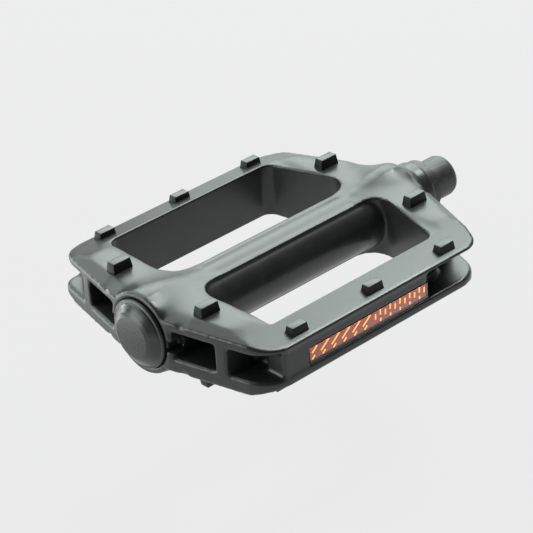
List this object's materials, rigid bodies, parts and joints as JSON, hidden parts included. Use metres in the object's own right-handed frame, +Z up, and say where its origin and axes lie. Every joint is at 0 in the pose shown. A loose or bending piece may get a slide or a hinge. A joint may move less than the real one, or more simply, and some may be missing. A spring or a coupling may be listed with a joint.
{
  "type": "flat pedal",
  "caption": "Two-sided moulded bicycle platform pedal with grip studs, side reflectors and a threaded steel axle.",
  "frame": {"origin": "on the axle axis, at the shoulder that seats against the crank arm", "axes": "+X along the axle, out of the pedal along the crank thread; +Z up, square to the platform; Y across the platform, fore and aft"},
  "size_m": [0.1391, 0.097, 0.028],
  "materials": {
    "moulded_nylon": "satin moulded, glass-filled nylon",
    "cap_nylon": "satin moulded",
    "black_steel": "black oxide, oiled",
    "bearing_steel": "hardened and polished",
    "cup_steel": "pressed and hardened",
    "zinc_steel": "zinc plated",
    "seal_rubber": "matt",
    "amber_acrylic": "clear amber, polished face",
    "backing_plastic": "moulded"
  },
  "bodies": {
    "axle": {"axle": "black_steel", "outboard_cone": "bearing_steel", "tab_washer": "zinc_steel", "locknut": "zinc_steel"},
    "platform": {"pedal_body": "moulded_nylon", "dust_cap": "cap_nylon", "inboard_cup": "cup_steel", "outboard_cup": "cup_steel", "axle_seal": "seal_rubber", "front_reflector_lens": "amber_acrylic", "front_reflector_backing": "backing_plastic", "rear_reflector_lens": "amber_acrylic", "rear_reflector_backing": "backing_plastic"},
    "inboard_ball_set": {"inboard_balls": "bearing_steel"},
    "outboard_ball_set": {"outboard_balls": "bearing_steel"}
  },
  "joints": [
    {"name": "pedal_spin", "type": "hinge", "parent": "axle", "child": "platform", "pos_m": [-0.0678, 0, 0], "axis": [1, 0, 0], "continuous": true},
    {"name": "inboard_ball_roll", "type": "hinge", "parent": "axle", "child": "inboard_ball_set", "pos_m": [-0.0108, 0, 0], "axis": [1, 0, 0], "continuous": true},
    {"name": "outboard_ball_roll", "type": "hinge", "parent": "axle", "child": "outboard_ball_set", "pos_m": [-0.1108, 0, 0], "axis": [1, 0, 0], "continuous": true}
  ],
  "couplings": [
    {"joint": "inboard_ball_roll", "follows": "pedal_spin", "ratio": 0.614},
    {"joint": "outboard_ball_roll", "follows": "pedal_spin", "ratio": 0.614}
  ]
}
